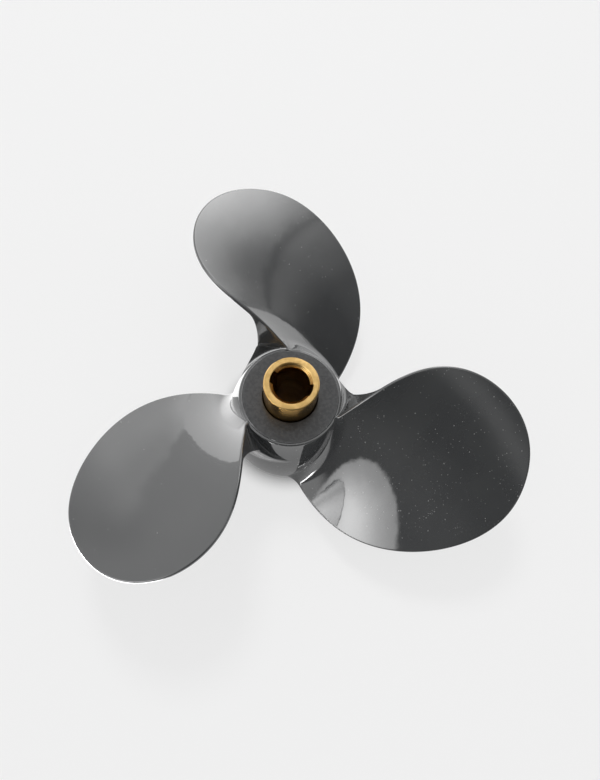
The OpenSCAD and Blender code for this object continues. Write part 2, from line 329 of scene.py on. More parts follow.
def blade_rings():
    """Rings of points round a blade from the hub's flank to its tip: radius, angle and height of each."""
    le_r, le_a, le_d = edge_rows(le_curve)
    te_r, te_a, te_d = edge_rows(te_curve)
    le_end = le_a - np.degrees(fillet(*LE_END_FILLET, le_d) / le_r)
    te_end = te_a + np.degrees(fillet(*TE_END_FILLET, te_d) / te_r)
    le_round = mix(EDGE_ROUND, ROOT_ROUND, fillet(1, ROOT_ROUND_REACH, le_d))
    te_round = np.full(len(te_r), EDGE_ROUND)

    # Base points on the screw surface
    chord = np.hypot(le_r - te_r, np.radians(te_end - le_end) * (le_r + te_r) / 2)
    u = column_shares(chord, le_round, te_round)
    a = mix(le_end[:, None], te_end[:, None], u)
    d = mix(le_d[:, None], te_d[:, None], u)
    base_r = hub_r(screw_z(a)) + d
    true_u = np.clip((a - le_a[:, None]) / np.maximum(te_a - le_a, TINY)[:, None], 0, 1)

    # Offsets of the pressure face and of the back from the screw surface
    web = true_u**WEB_FADE
    span = np.clip((base_r - HUB_AFT_R) / (TIP_R - HUB_AFT_R), 0, 1)
    thick = EDGE_T + (ROOT_T - EDGE_T) * (1 - span) * 4 * true_u * (1 - true_u)
    face = fillet(mix(FACE_FILLET[0], TE_FACE_FILLET_W, web), FACE_FILLET[1], d)
    back = -thick - fillet(mix(LE_FILLET[0], WEB[0], web), mix(LE_FILLET[1], WEB[1], web), d)
    inset, edge_r = outline_gap(base_r, a, le_round, te_round)
    depth = np.minimum(edge_r, ROUND_SHARE * (face - back) / 2)
    drop = depth * (1 - np.sqrt(1 - (1 - np.clip(inset / edge_r, 0, 1)) ** 2))
    face = face - drop
    back = back + drop

    # Rings: face from leading to trailing edge, trailing end, back again, leading end
    steps = np.arange(1, END_COLUMNS) / END_COLUMNS
    ends = np.ones(END_COLUMNS - 1)

    def round_ring(x):
        return np.hstack([x, x[:, -1:] * ends, x[:, ::-1], x[:, :1] * ends])

    ring_a, ring_r, ring_d = round_ring(a), round_ring(base_r), round_ring(d)
    te_n = mix(face[:, -1:], back[:, -1:], steps)
    le_n = mix(back[:, :1], face[:, :1], steps)
    ring_n = np.hstack([face, te_n, back[:, ::-1], le_n])
    lead = np.arctan(PITCH / (2 * math.pi * ring_r))
    z = screw_z(ring_a) + ring_n * np.cos(lead)
    angle = ring_a - np.degrees(ring_n * np.sin(lead) / ring_r)

    # The root follows the flank's rounded corners
    follow = 1 - smooth_step((ring_d - WEB[1]) / FLANK_FADE)
    wall_r = np.interp(z, profile[:, 1], profile[:, 0])
    r = ring_r + (wall_r - hub_r(screw_z(ring_a))) * follow
    return r, angle, z, u.shape[1]


def blade_faces(rows, size, columns):
    """Faces between the rings, whose last one closes to one point on each side."""
    last = np.zeros(size, int)
    trailing = np.arange(END_COLUMNS - 1)
    back = columns + END_COLUMNS - 1
    last[columns:back] = columns + trailing
    last[back:back + columns] = back
    last[back + columns:] = back - 1 - trailing
    last += (rows - 1) * size
    faces = []
    for k in range(rows - 1):
        upper = last if k == rows - 2 else (k + 1) * size + np.arange(size)
        for i in range(size):
            j = (i + 1) % size
            corners = [k * size + i, k * size + j, upper[j], upper[i]]
            corners = [c for n, c in enumerate(corners) if c not in corners[:n]]
            if len(corners) > 2:
                faces.append(corners)
    return faces


def flank_levels():
    """Lengths along the profile at which the flank has points, closer on its rounded corners."""
    fwd = profile_p[len(fwd_arc) - 1]
    aft = profile_p[len(profile) - len(aft_arc)]
    fwd_rows, middle_rows, aft_rows = FLANK_ROWS
    middle = np.linspace(fwd, aft, middle_rows)[1:-1]
    return np.r_[np.linspace(0, fwd, fwd_rows), middle, np.linspace(aft, profile_p[-1], aft_rows)]


def flank_mesh(loop_s, loop_p):
    """Triangles of one sector of the flank round the blade's root loop, in sheared angle and length."""
    scale = math.radians(1) * FLANK_R
    levels = flank_levels()
    s_list = FLANK_START + SECTOR * np.arange(SECTOR_DIVISIONS + 1) / SECTOR_DIVISIONS
    loop = np.c_[loop_s * scale, loop_p]
    edges = [(i, (i + 1) % len(loop)) for i in range(len(loop))]
    way = np.roll(loop, -1, 0) - loop
    length2 = np.maximum((way**2).sum(1), 1e-18)

    def inside(point):
        y0, y1 = loop[:, 1], np.roll(loop[:, 1], -1)
        crossing = (y0 > point[1]) != (y1 > point[1])
        at = loop[:, 0] + (point[1] - y0) / np.where(crossing, y1 - y0, 1) * way[:, 0]
        return bool(np.count_nonzero(crossing & (at > point[0])) % 2)

    def from_loop(point):
        t = np.clip(((point - loop) * way).sum(1) / length2, 0, 1)
        return np.hypot(*(loop + way * t[:, None] - point).T).min()

    points = [tuple(p) for p in loop]
    boundary = [(s_list[0] * scale, p) for p in levels[:-1]]
    boundary += [(s * scale, levels[-1]) for s in s_list[:-1]]
    boundary += [(s_list[-1] * scale, p) for p in levels[:0:-1]]
    boundary += [(s * scale, levels[0]) for s in s_list[:0:-1]]
    first = len(points)
    points += boundary
    edges += [(first + i, first + (i + 1) % len(boundary)) for i in range(len(boundary))]
    for p in levels[1:-1]:
        for s in s_list[1:-1]:
            point = np.array([s * scale, p])
            if from_loop(point) > FLANK_GAP and not inside(point):
                points.append(tuple(point))
    found = delaunay_2d_cdt([Vector(p) for p in points], edges, [], 0, 1e-7)
    xy = np.array([tuple(v) for v in found[0]])
    origin = [o[0] if o else -1 for o in found[3]]
    triangles = [f for f in found[2] if not inside(xy[list(f)].mean(0))]
    return xy[:, 0] / scale, xy[:, 1], triangles, origin


def casting_lathe():
    """Rows of the casting's inside, from the flank's forward rim through the bore to its aft rim."""
    count = BLADES * SECTOR_DIVISIONS
    step = SECTOR / SECTOR_DIVISIONS
    s = FLANK_START + step * np.arange(count)
    fwd_angle = s + screw_turn(profile[0, 1])
    aft_angle = s + screw_turn(profile[-1, 1])
    roll = int(round((aft_angle[0] - fwd_angle[0]) / step))
    aft_angle = aft_angle - roll * step
    rib_a = (le_root_a + te_root_a) / 2
    off_rib = np.abs((fwd_angle - rib_a + SECTOR / 2) % SECTOR - SECTOR / 2)
    from_rib = np.radians(off_rib) * (BOSS_R + POCKET_W / 2) - RIB_HALF
    depth = mix(RIB_SETBACK, POCKET_DEPTH, smooth_step((from_rib + RIB_SIDE_IN) / RIB_SIDE_W))
    wall_end = depth - POCKET_ROUND
    rows = []

    def add(r, z, angle):
        rows.append(np.c_[np.broadcast_to(r, count), angle, np.broadcast_to(z, count)])

    def add_all(points, angle):
        for r, z in points:
            add(r, z, angle)

    def pocket_round(a):
        across = POCKET_ROUND * (1 - math.cos(math.radians(a)))
        return across, depth - POCKET_ROUND * (1 - math.sin(math.radians(a)))

    # Forward rim and pocket, whose floor is high at the ribs
    outer = BOSS_R + POCKET_W
    wall_in = (POCKET_W - POCKET_FLOOR_W) / POCKET_DEPTH
    add(profile[0, 0], 0, fwd_angle)
    add_all(arc(np.array([outer + RIM_ROUND, RIM_ROUND]), RIM_ROUND, -90, -180, 4), fwd_angle)
    for v in (0.25, 0.5, 0.75, 1.0):
        z = mix(RIM_ROUND, wall_end, v)
        add(outer - z * wall_in, z, fwd_angle)
    for a in POCKET_ROUND_ANGLES:
        across, z = pocket_round(a)
        add(outer - wall_end * wall_in - across, z, fwd_angle)
    for a in POCKET_ROUND_ANGLES[::-1]:
        across, z = pocket_round(a)
        add(BOSS_R + across, z, fwd_angle)
    for v in (1.0, 0.66, 0.33):
        add(BOSS_R, mix(BOSS_ROUND, wall_end, v), fwd_angle)
    add_all(arc(np.array([BOSS_R - BOSS_ROUND, BOSS_ROUND]), BOSS_ROUND, 0, -90, 5), fwd_angle)

    # Boss face, lead-in with eased corners, and bore
    mouth = HUB_BORE_R + LEAD_IN
    bore_start = LEAD_IN + LEAD_IN_EASE
    bore_end = HUB_LENGTH - AFT_WALL
    hole_end = HUB_LENGTH - HOLE_ROUND
    add_all([(mouth + 0.25, 0), (mouth + 0.1, 0.03), (mouth - 0.08, 0.12)], fwd_angle)
    add_all([(HUB_BORE_R + 0.12, LEAD_IN - 0.14), (HUB_BORE_R + 0.03, LEAD_IN)], fwd_angle)
    add_all([(HUB_BORE_R, z) for z in np.linspace(bore_start, bore_end - BORE_END_CHAMFER, 9)], fwd_angle)
    add_all([(HUB_BORE_R - BORE_END_CHAMFER, bore_end), (SLEEVE_HOLE_R + HOLE_CHAMFER, bore_end)], aft_angle)
    add_all([(SLEEVE_HOLE_R, bore_end + HOLE_CHAMFER), (SLEEVE_HOLE_R, hole_end)], aft_angle)

    # Aft face with its raised rim and shoulder
    face_start = SLEEVE_HOLE_R + HOLE_ROUND
    face_end = LIP_R - LIP_ROUND
    shoulder = HUB_LENGTH - LIP_H
    shoulder_centre = np.array([LIP_R + SHOULDER_ROUND, shoulder + SHOULDER_ROUND])
    add_all(arc(np.array([face_start, hole_end]), HOLE_ROUND, 180, 90, 5)[1:], aft_angle)
    add_all([(r, HUB_LENGTH) for r in np.linspace(face_start, face_end, 6)[1:-1]], aft_angle)
    add_all(arc(np.array([face_end, HUB_LENGTH - LIP_ROUND]), LIP_ROUND, 90, 0, 6), aft_angle)
    add_all(arc(shoulder_centre, SHOULDER_ROUND, 180, 270, 4), aft_angle)
    add(profile[-1, 0], profile[-1, 1], aft_angle)
    return np.array(rows)


def ring_faces(rows, count, closed=False):
    """Quads between rows of points that each close on themselves; closed joins the last row to the first."""
    faces = []
    for k in range(rows if closed else rows - 1):
        upper = (k + 1) % rows
        for j in range(count):
            n = (j + 1) % count
            faces.append([k * count + j, k * count + n, upper * count + n, upper * count + j])
    return faces


def casting_mesh():
    """Points and faces of the casting: three sectors of blade and flank, and the inside."""
    r, angle, z, columns = blade_rings()
    rows, size = r.shape
    faces = blade_faces(rows, size, columns)
    blade = to_xyz(r, angle, z).reshape(-1, 3)
    loop_p = np.interp(z[0], profile[:, 1], profile_p)
    flank_s, flank_p, triangles, origin = flank_mesh(angle[0] - screw_turn(z[0]), loop_p)
    flank_height = np.interp(flank_p, profile_p, profile[:, 1])
    flank_radius = np.interp(flank_p, profile_p, profile[:, 0])
    flank = to_xyz(flank_radius, flank_s + screw_turn(flank_height), flank_height)
    number = [o if 0 <= o < size else len(blade) + i for i, o in enumerate(origin)]
    faces += [[number[c] for c in f] for f in triangles]
    sector = np.vstack([blade, flank])

    # Points of the last ring that no face uses, and flank points that are the root loop's own, drop out
    used = sorted({c for f in faces for c in f})
    renumber = {c: i for i, c in enumerate(used)}
    sector = sector[used]
    faces = [[renumber[c] for c in f] for f in faces]
    vertices, all_faces = [], []
    for i in range(BLADES):
        all_faces += [[c + i * len(sector) for c in f] for f in faces]
        vertices.append(turn(sector, SECTOR * i))
    lathe = casting_lathe()
    first = BLADES * len(sector)
    vertices.append(to_xyz(lathe[..., 0], lathe[..., 1], lathe[..., 2]).reshape(-1, 3))
    all_faces += [[first + c for c in f] for f in ring_faces(*lathe.shape[:2])]
    return turn(np.vstack(vertices), FIRST_BLADE), all_faces


def slotted_ring(bore_r):
    """Radius and angle of the points round the sleeve's bore with its two drive slots."""
    floor_r = max(SLOT_R, bore_r)
    floor_a = math.degrees(math.asin(SLOT_HALF / floor_r))
    bore_a = math.degrees(math.asin(SLOT_HALF / min(bore_r, SLOT_R)))
    bore_a = max(bore_a, floor_a + SLOT_FLARE)
    half = [(floor_r, a) for a in np.linspace(-floor_a, floor_a, 11)]
    half += [(mix(floor_r, bore_r, v), mix(floor_a, bore_a, v)) for v in SLOT_WALL_SHARES]
    half += [(bore_r, a) for a in np.linspace(bore_a, 180 - bore_a, 41)]
    half += [(mix(bore_r, floor_r, v), 180 - mix(bore_a, floor_a, v)) for v in SLOT_WALL_SHARES]
    whole = half + [(r, a + 180) for r, a in half]
    return np.array(whole)


def sleeve_mesh():
    """The sleeve as rows round its shaft: outside, aft end, bore and forward end."""
    guide = slotted_ring(SLEEVE_BORE_R)
    rows = []

    def outside(r, z):
        rows.append(to_xyz(np.full(len(guide), r), guide[:, 1], z))

    def inside(r, z):
        ring = slotted_ring(r)
        rows.append(to_xyz(ring[:, 0], ring[:, 1], z))

    # Rows of a chamfer with eased corners: how far in from the side, and how far from the end
    z0, z1, edge, mouth = SLEEVE_Z0, SLEEVE_Z1, SLEEVE_EDGE, SLOT_R
    reach = edge + CHAMFER_EASE
    chamfer = [(0, reach), (0.03, edge - 0.01), (edge - 0.05, 0.04), (edge + 0.1, 0)]
    for inset, drop in chamfer[::-1]:
        outside(SLEEVE_R - inset, z0 + drop)
    for z in np.linspace(z0 + reach, z1 - reach, 14)[1:-1]:
        outside(SLEEVE_R, z)
    for inset, drop in chamfer:
        outside(SLEEVE_R - inset, z1 - drop)

    # Rows of the bore's mouth: radius, and how far from the end
    mouth_end = MOUTH_DEPTH * MOUTH_EASE
    mouth_rows = [(mouth + 0.2, 0), (mouth + 0.07, 0.02), (mouth - 0.05, 0.1)]
    mouth_rows += [(mix(mouth, SLEEVE_BORE_R, v), MOUTH_DEPTH * v) for v in (0.25, 0.5, 0.75, 0.94)]
    mouth_rows += [(SLEEVE_BORE_R, mouth_end)]
    for r, drop in mouth_rows:
        inside(r, z1 - drop)
    for z in np.linspace(z1 - mouth_end, z0 + mouth_end, 12)[1:-1]:
        inside(SLEEVE_BORE_R, z)
    for r, drop in mouth_rows[::-1]:
        inside(r, z0 + drop)
    return turn(np.vstack(rows), SLOT_ANGLE), ring_faces(len(rows), len(guide), closed=True)


def rubber_mesh():
    """The bush as rows round the sleeve, with ends that draw in between sleeve and hub."""
    angle = 360 * np.arange(BUSH_DIVISIONS) / BUSH_DIVISIONS
    z0, z1, inner = RUBBER_Z0, RUBBER_Z1, SLEEVE_R
    edge_r = RUBBER_R - RUBBER_EDGE
    side = RUBBER_EDGE + RUBBER_EASE

    # Rows of an end: radius, and how far from the end
    end = [(inner, RUBBER_SETBACK), (inner + 0.25, 0.35)]
    for v in (0.2, 0.35, 0.5, 0.65, 0.8):
        dish = RUBBER_DISH * math.sin(math.pi * v) ** RUBBER_DISH_POWER
        end.append((inner + (edge_r - inner) * v, dish + 0.02))
    end += [(edge_r - 0.1, 0.12), (edge_r + 0.1, 0.02)]
    end += [(RUBBER_R - 0.75, 0.22), (RUBBER_R - 0.35, 0.55), (RUBBER_R - 0.1, 0.95), (RUBBER_R, side)]
    section = [(r, z0 + z) for r, z in end]
    section += [(RUBBER_R, z) for z in np.linspace(z0 + side, z1 - side, 10)[1:-1]]
    section += [(r, z1 - z) for r, z in end[::-1]]
    section += [(inner, z) for z in np.linspace(z1 - RUBBER_SETBACK, z0 + RUBBER_SETBACK, 8)[1:-1]]
    rows = [to_xyz(np.full(BUSH_DIVISIONS, r), angle, z) for r, z in section]
    return np.vstack(rows), ring_faces(len(rows), BUSH_DIVISIONS, closed=True)


def new_object(name, vertices, faces, body, node, slot, material, sharp=35):
    """A piece from points in millimetres: it rides on a body and stands for a CAD node."""
    points = np.asarray(vertices, float) - [0, 0, REF_Z]
    mesh = bpy.data.meshes.new(name)
    mesh.from_pydata((points * MM).tolist(), [], [list(map(int, f)) for f in faces])

    # Rims that meet are joined, and small ends that are still open are closed
    work = bmesh.new()
    work.from_mesh(mesh)
    rim = [v for v in work.verts if v.is_boundary]
    bmesh.ops.remove_doubles(work, verts=rim, dist=JOIN_DISTANCE)
    ends = bmesh.ops.holes_fill(work, edges=[e for e in work.edges if e.is_boundary], sides=0)["faces"]
    bmesh.ops.triangulate(work, faces=ends)
    bmesh.ops.recalc_face_normals(work, faces=work.faces)
    work.to_mesh(mesh)
    work.free()
    mesh.shade_smooth()
    mesh.set_sharp_from_angle(angle=math.radians(sharp))
    piece = bpy.data.objects.new(name, mesh)
    bpy.context.scene.collection.objects.link(piece)
    mesh.materials.append(material)
    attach(piece, body)
    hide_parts(node)


class Nodes:
    """Builds a material's or the world's node tree with short calls."""

    def __init__(self, owner):
        owner.use_nodes = True
        self.tree = owner.node_tree
        self.tree.nodes.clear()

    def add(self, kind, settings=None, **inputs):
        node = self.tree.nodes.new(kind)
        for key, value in (settings or {}).items():
            setattr(node, key, value)
        for key, value in inputs.items():
            self.put(node, key.replace("_", " "), value)
        return node

    def put(self, node, key, value):
        """Links or sets an input, given by its name or by its number as n0, n1 and so on."""
        socket = node.inputs[int(key[1:])] if key[0] == "n" and key[1:].isdigit() else node.inputs[key]
        if isinstance(value, bpy.types.NodeSocket):
            self.tree.links.new(value, socket)
        else:
            socket.default_value = value

    def math(self, operation, *values, clamp=False):
        node = self.add("ShaderNodeMath", {"operation": operation, "use_clamp": clamp})
        for i, value in enumerate(values):
            self.put(node, f"n{i}", value)
        return node.outputs[0]

    def times(self, a, b):
        return self.math("MULTIPLY", a, b)

    def plus(self, a, b):
        return self.math("ADD", a, b)

    def line(self, value, slope, start):
        """A value times a slope, counted from a start."""
        return self.math("MULTIPLY_ADD", value, slope, start)

    def length(self, x, y):
        return self.math("SQRT", self.plus(self.times(x, x), self.times(y, y)))

    def ramp(self, value, low, high):
        """Share of the way of a value from low to high, eased at both ends."""
        node = self.add("ShaderNodeMapRange", {"interpolation_type": "SMOOTHSTEP"})
        for key, given in (("Value", value), ("From Min", low), ("From Max", high)):
            self.put(node, key, given)
        return node.outputs[0]

    def bell(self, value, middle, width):
        """Bell curve of a value round its middle."""
        off = self.math("DIVIDE", self.math("SUBTRACT", value, middle), width)
        return self.math("EXPONENT", self.times(self.times(off, off), -1.0))

    def blend(self, share, a, b):
        node = self.add("ShaderNodeMix", {"data_type": "RGBA"})
        for key, given in (("n0", share), ("n6", a), ("n7", b)):
            self.put(node, key, given)
        return node.outputs[2]

    def noise(self, place, scale, detail=2.0):
        node = self.add("ShaderNodeTexNoise", Scale=scale, Detail=detail)
        self.put(node, "Vector", place)
        return node.outputs["Fac"]

    def bump(self, height, strength, distance, normal=None):
        node = self.add("ShaderNodeBump", Strength=strength, Distance=distance, Height=height)
        if normal is not None:
            self.put(node, "Normal", normal)
        return node.outputs["Normal"]

    def seen(self):
        """1 for what the camera, reflections and glass see, and 0 for the light that a surface scatters."""
        path = self.add("ShaderNodeLightPath")
        direct = self.math("ADD", path.outputs["Is Camera Ray"], path.outputs["Is Glossy Ray"], clamp=True)
        return self.math("ADD", direct, path.outputs["Is Transmission Ray"], clamp=True)

    def surface(self, color, rough, normal, **constants):
        shader = self.add("ShaderNodeBsdfPrincipled", **constants)
        self.put(shader, "Base Color", color)
        self.put(shader, "Roughness", rough)
        self.put(shader, "Normal", normal)
        return shader

    def finish(self, shader, kind="ShaderNodeOutputMaterial"):
        out = self.add(kind)
        self.tree.links.new(shader.outputs[0], out.inputs["Surface"])


def start_material(name):
    """A new material, its nodes, and the place of a point in its piece's own frame."""
    material = bpy.data.materials.new(name)
    n = Nodes(material)
    return material, n, n.add("ShaderNodeTexCoord").outputs["Object"]


# Colours of the materials
PAINT_DEEP = (0.038, 0.040, 0.042, 1)
PAINT_PALE = (0.050, 0.052, 0.053, 1)
DUST = (0.42, 0.42, 0.41, 1)
CAST_DEEP = (0.020, 0.021, 0.023, 1)
CAST_PALE = (0.042, 0.043, 0.045, 1)
BRASS = (0.74, 0.49, 0.19, 1)
BRASS_TARNISHED = (0.56, 0.34, 0.11, 1)
# Brass of the side, darkened and deepened as painted shade and painted interreflection
BRASS_SIDE_PAINTED_SHADE = (0.52, 0.30, 0.08, 1)
BRASS_END = (0.60, 0.39, 0.145, 1)
BRASS_END_WORN = (0.74, 0.50, 0.20, 1)
RUBBER_BLACK = (0.016, 0.016, 0.016, 1)
RUBBER_BLOOM = (0.045, 0.044, 0.042, 1)
FLOOR_PAPER = (0.88, 0.88, 0.88, 1)
# Floor under the hub, darkened as painted shade
FLOOR_PAINTED_SHADE = (0.35, 0.35, 0.35, 1)

# Turning marks on the brass, crest to crest in metres
RING_STEP = 0.00042
FEED_STEP = 0.0006


def paint_material():
    """Dark grey gloss lacquer on a casting: faint orange peel, dust on it, dull on the aft face."""
    material, n, place = start_material("paint")
    x, y, z = n.add("ShaderNodeSeparateXYZ", Vector=place).outputs
    radius = n.length(x, y)
    aft_z = (HUB_LENGTH - REF_Z) * MM
    at_aft = n.times(n.ramp(z, low=aft_z - 0.3 * MM, high=aft_z - 0.1 * MM),
                     n.math("LESS_THAN", radius, (LIP_R - LIP_ROUND) * MM))

    # Colour: a slow drift, and pale dust that lies thicker in places
    drift = n.noise(place, scale=34.0, detail=5.0)
    color = n.blend(n.ramp(drift, low=0.3, high=0.7), PAINT_DEEP, PAINT_PALE)
    cells = n.add("ShaderNodeTexVoronoi", Scale=1300.0, Randomness=1.0)
    n.put(cells, "Vector", place)
    chance, spread, strength = n.add("ShaderNodeSeparateColor", Color=cells.outputs["Color"]).outputs
    dot = n.math("LESS_THAN", cells.outputs["Distance"], n.line(spread, slope=0.22, start=0.1))
    lie = n.plus(n.times(x, 3.0), n.noise(place, scale=14.0))
    dusty = n.ramp(lie, low=0.42, high=0.85)
    cluster = n.line(n.ramp(n.noise(place, scale=95.0), low=0.45, high=0.65), slope=0.4, start=0.1)
    chosen = n.math("LESS_THAN", chance, n.line(dusty, slope=cluster, start=0.012))
    dust = n.times(n.times(dot, chosen), strength)
    color = n.blend(n.times(dust, 0.52), color, DUST)
    grain = n.noise(place, scale=900.0, detail=3.0)
    dull = n.blend(n.ramp(grain, low=0.35, high=0.65), CAST_DEEP, CAST_PALE)
    color = n.blend(n.times(at_aft, 0.8), color, dull)

    # Gloss: wiping marks, a rough aft face and rough dust
    smear = n.noise(place, scale=60.0, detail=4.0)
    rough = n.line(smear, slope=0.05, start=0.045)
    rough = n.line(at_aft, slope=0.35, start=rough)
    rough = n.line(dust, slope=0.3, start=rough)

    # Relief: orange peel on slow waves, and cast grain on the aft face
    peel = n.noise(place, scale=330.0, detail=1.0)
    relief = n.line(n.noise(place, scale=75.0), slope=1.5, start=peel)
    normal = n.bump(relief, strength=0.03, distance=0.4 * MM)
    normal = n.bump(n.times(grain, at_aft), strength=0.35, distance=0.3 * MM, normal=normal)
    shader = n.surface(color, rough, normal, IOR=1.5, Coat_Weight=1.0, Coat_Roughness=0.04, Coat_IOR=1.85)
    n.put(shader, "Coat Weight", n.line(at_aft, slope=-0.85, start=1.0))
    n.put(shader, "Coat Normal", n.bump(relief, strength=0.026, distance=0.4 * MM))
    n.finish(shader)
    return material


def brass_material():
    """Turned brass: rings on its ends, faint feed marks round it, and some tarnish."""
    material, n, place = start_material("brass")
    x, y, z = n.add("ShaderNodeSeparateXYZ", Vector=place).outputs
    radius = n.length(x, y)

    # Where the point lies: on the side or on an end
    outside = n.math("GREATER_THAN", radius, (SLEEVE_R - 0.05) * MM)
    middle_z = (SLEEVE_Z0 + SLEEVE_Z1) / 2
    from_middle = n.math("ABSOLUTE", n.math("SUBTRACT", z, (middle_z - REF_Z) * MM))
    end_z = (SLEEVE_Z1 - SLEEVE_Z0) / 2 * MM
    at_end = n.times(n.ramp(from_middle, low=end_z - 0.4 * MM, high=end_z - 0.2 * MM),
                     n.math("LESS_THAN", radius, (SLEEVE_R - 0.02) * MM))

    # Colour and gloss: tarnish, a side painted darker and deeper as painted shade and painted
    # interreflection, and worn ends with fine scratches
    tarnish = n.noise(place, scale=160.0, detail=5.0)
    scratch = n.noise(place, scale=1400.0, detail=4.0)
    worn = n.ramp(n.noise(place, scale=420.0, detail=4.0), low=0.35, high=0.65)
    color = n.blend(n.ramp(tarnish, low=0.35, high=0.7), BRASS, BRASS_TARNISHED)
    # The side's darker, deeper brass colour is painted shade and painted interreflection
    color = n.blend(n.times(outside, 0.7), color, BRASS_SIDE_PAINTED_SHADE)
    color = n.blend(at_end, color, n.blend(worn, BRASS_END, BRASS_END_WORN))
    rough = n.line(n.plus(tarnish, scratch), slope=0.1, start=0.1)
    rough = n.line(at_end, slope=0.24, start=rough)

    # Relief: rings round the shaft, feed marks along the side, scratches on the ends
    wobble = n.times(n.noise(place, scale=500.0), 0.4 * MM)
    rings = n.math("SINE", n.times(n.plus(radius, wobble), 2 * math.pi / RING_STEP))
    feed = n.math("SINE", n.times(n.plus(z, wobble), 2 * math.pi / FEED_STEP))
    normal = n.bump(rings, strength=0.12, distance=0.12 * MM)
    normal = n.bump(n.times(feed, outside), strength=0.36, distance=0.1 * MM, normal=normal)
    normal = n.bump(n.times(scratch, at_end), strength=0.12, distance=0.2 * MM, normal=normal)
    n.finish(n.surface(color, rough, normal, Metallic=1.0))
    return material


def rubber_material():
    """Black moulded rubber, greyer where it has bloomed."""
    material, n, place = start_material("rubber")
    bloom = n.noise(place, scale=180.0, detail=5.0)
    color = n.blend(n.ramp(bloom, low=0.4, high=0.75), RUBBER_BLACK, RUBBER_BLOOM)
    rough = n.line(bloom, slope=0.2, start=0.55)
    normal = n.bump(n.noise(place, scale=1500.0, detail=3.0), strength=0.3, distance=0.2 * MM)
    n.finish(n.surface(color, rough, normal))
    return material


paint = paint_material()
brass = brass_material()
rubber = rubber_material()
new_object("casting", *casting_mesh(), "casting", "propeller", "paint", paint)
new_object("sleeve", *sleeve_mesh(), "sleeve", "drive_sleeve", "brass", brass, sharp=28)
new_object("bush", *rubber_mesh(), "sleeve", "rubber_damper", "rubber", rubber)

# Pale floor, a hair under the hub: gap in millimetres, patch of painted shade under the hub in hub radii,
# other sizes in metres
WHITE = 0.895
FLOOR_HALF = 6.0
FLOOR_GAP = 0.05
FLOOR_GLOW = 0.8
FLOOR_FADE = (0.3, 2.0)
HUB_SHADE = (0.8, 1.3)


def floor_material():
    """Pale paper, which the camera and reflections see partly as its own white, so its shadow is faint;
    under the hub its colour is darkened as painted shade.
    """
    material = bpy.data.materials.new("floor")
    n = Nodes(material)
    place = n.add("ShaderNodeNewGeometry").outputs["Position"]
    flat = n.add("ShaderNodeVectorMath", {"operation": "MULTIPLY"}, n0=place, n1=(1, 1, 0)).outputs[0]
    away = n.add("ShaderNodeVectorMath", {"operation": "LENGTH"}, n0=flat).outputs["Value"]
    # Under the hub the paper is painted darker grey as painted shade, and shows no white glow
    clear_of_hub_shade = n.ramp(away, *(share * HUB_FWD_R * MM for share in HUB_SHADE))
    paper = n.add("ShaderNodeBsdfDiffuse", Color=n.blend(clear_of_hub_shade, FLOOR_PAINTED_SHADE, FLOOR_PAPER))
    white = n.add("ShaderNodeEmission", Color=(WHITE, WHITE, WHITE, 1), Strength=1.0)
    share = n.line(n.ramp(away, *FLOOR_FADE), slope=1 - FLOOR_GLOW, start=FLOOR_GLOW)
    both = n.add("ShaderNodeMixShader", Fac=n.times(n.times(n.seen(), clear_of_hub_shade), share))
    n.tree.links.new(paper.outputs[0], both.inputs[1])
    n.tree.links.new(white.outputs[0], both.inputs[2])
    n.finish(both)
    return material


floor_z = -(REF_Z + FLOOR_GAP) * MM
corners = [(-1, -1), (1, -1), (1, 1), (-1, 1)]
floor_mesh = bpy.data.meshes.new("floor")
floor_mesh.from_pydata([(x * FLOOR_HALF, y * FLOOR_HALF, floor_z) for x, y in corners], [], [(0, 1, 2, 3)])
floor_mesh.materials.append(floor_material())
floor = bpy.data.objects.new("floor", floor_mesh)
bpy.context.scene.collection.objects.link(floor)

# Camera, at the photograph's viewing angle
CAMERA_PLACE = Vector((-8.105, -77.12, 236.79)) * MM
CAMERA_AIM = Vector((3.992, 3.323, 0.0)) * MM
CAMERA_ROLL = 8.473
FOCAL_PIXELS = 630.536
PICTURE_HEIGHT = 780
SENSOR_HEIGHT = 36
NEAREST_SEEN = 0.005
forward = (CAMERA_AIM - CAMERA_PLACE).normalized()
level = forward.cross(Vector((0, 0, 1))).normalized()
upright = level.cross(forward)
cos_roll, sin_roll = math.cos(math.radians(CAMERA_ROLL)), math.sin(math.radians(CAMERA_ROLL))
right = cos_roll * level + sin_roll * upright
up = cos_roll * upright - sin_roll * level
camera_data = bpy.data.cameras.new("camera")
camera = bpy.data.objects.new("camera", camera_data)
bpy.context.scene.collection.objects.link(camera)
camera.matrix_world = Matrix((
    (right.x, up.x, -forward.x, CAMERA_PLACE.x),
    (right.y, up.y, -forward.y, CAMERA_PLACE.y),
    (right.z, up.z, -forward.z, CAMERA_PLACE.z),
    (0, 0, 0, 1),
))
camera_data.sensor_fit = "VERTICAL"
camera_data.sensor_height = SENSOR_HEIGHT
camera_data.lens = SENSOR_HEIGHT * FOCAL_PIXELS / PICTURE_HEIGHT
camera_data.clip_start = NEAREST_SEEN
bpy.context.scene.camera = camera

# Light: an even white room, a soft key lamp, and studio cards that only reflections see
ROOM = 0.62
WALL_R = 5.0
WALL_FOOT = -0.4
WALL_STEPS = 12
WALL_FADE = 9.0
CLOUD = 9.0
CLOUD_SCALE = 1.1
FIRST_AZIMUTH = -80.0
MAT_NEAR = 0.027
MAT_LIFT = 0.0002
world = bpy.data.worlds.new("world")
room = Nodes(world)
shown = room.line(room.seen(), slope=WHITE - ROOM, start=ROOM)
room.finish(room.add("ShaderNodeBackground", Color=(1, 1, 1, 1), Strength=shown), "ShaderNodeOutputWorld")
bpy.context.scene.world = world
bpy.context.scene.view_settings.view_transform = "Standard"


def sky(azimuth, elevation, distance):
    """Point at a distance in a direction; azimuth counts from +Y towards +X."""
    a, e = math.radians(azimuth), math.radians(elevation)
    return Vector((math.sin(a) * math.cos(e), math.cos(a) * math.cos(e), math.sin(e))) * distance


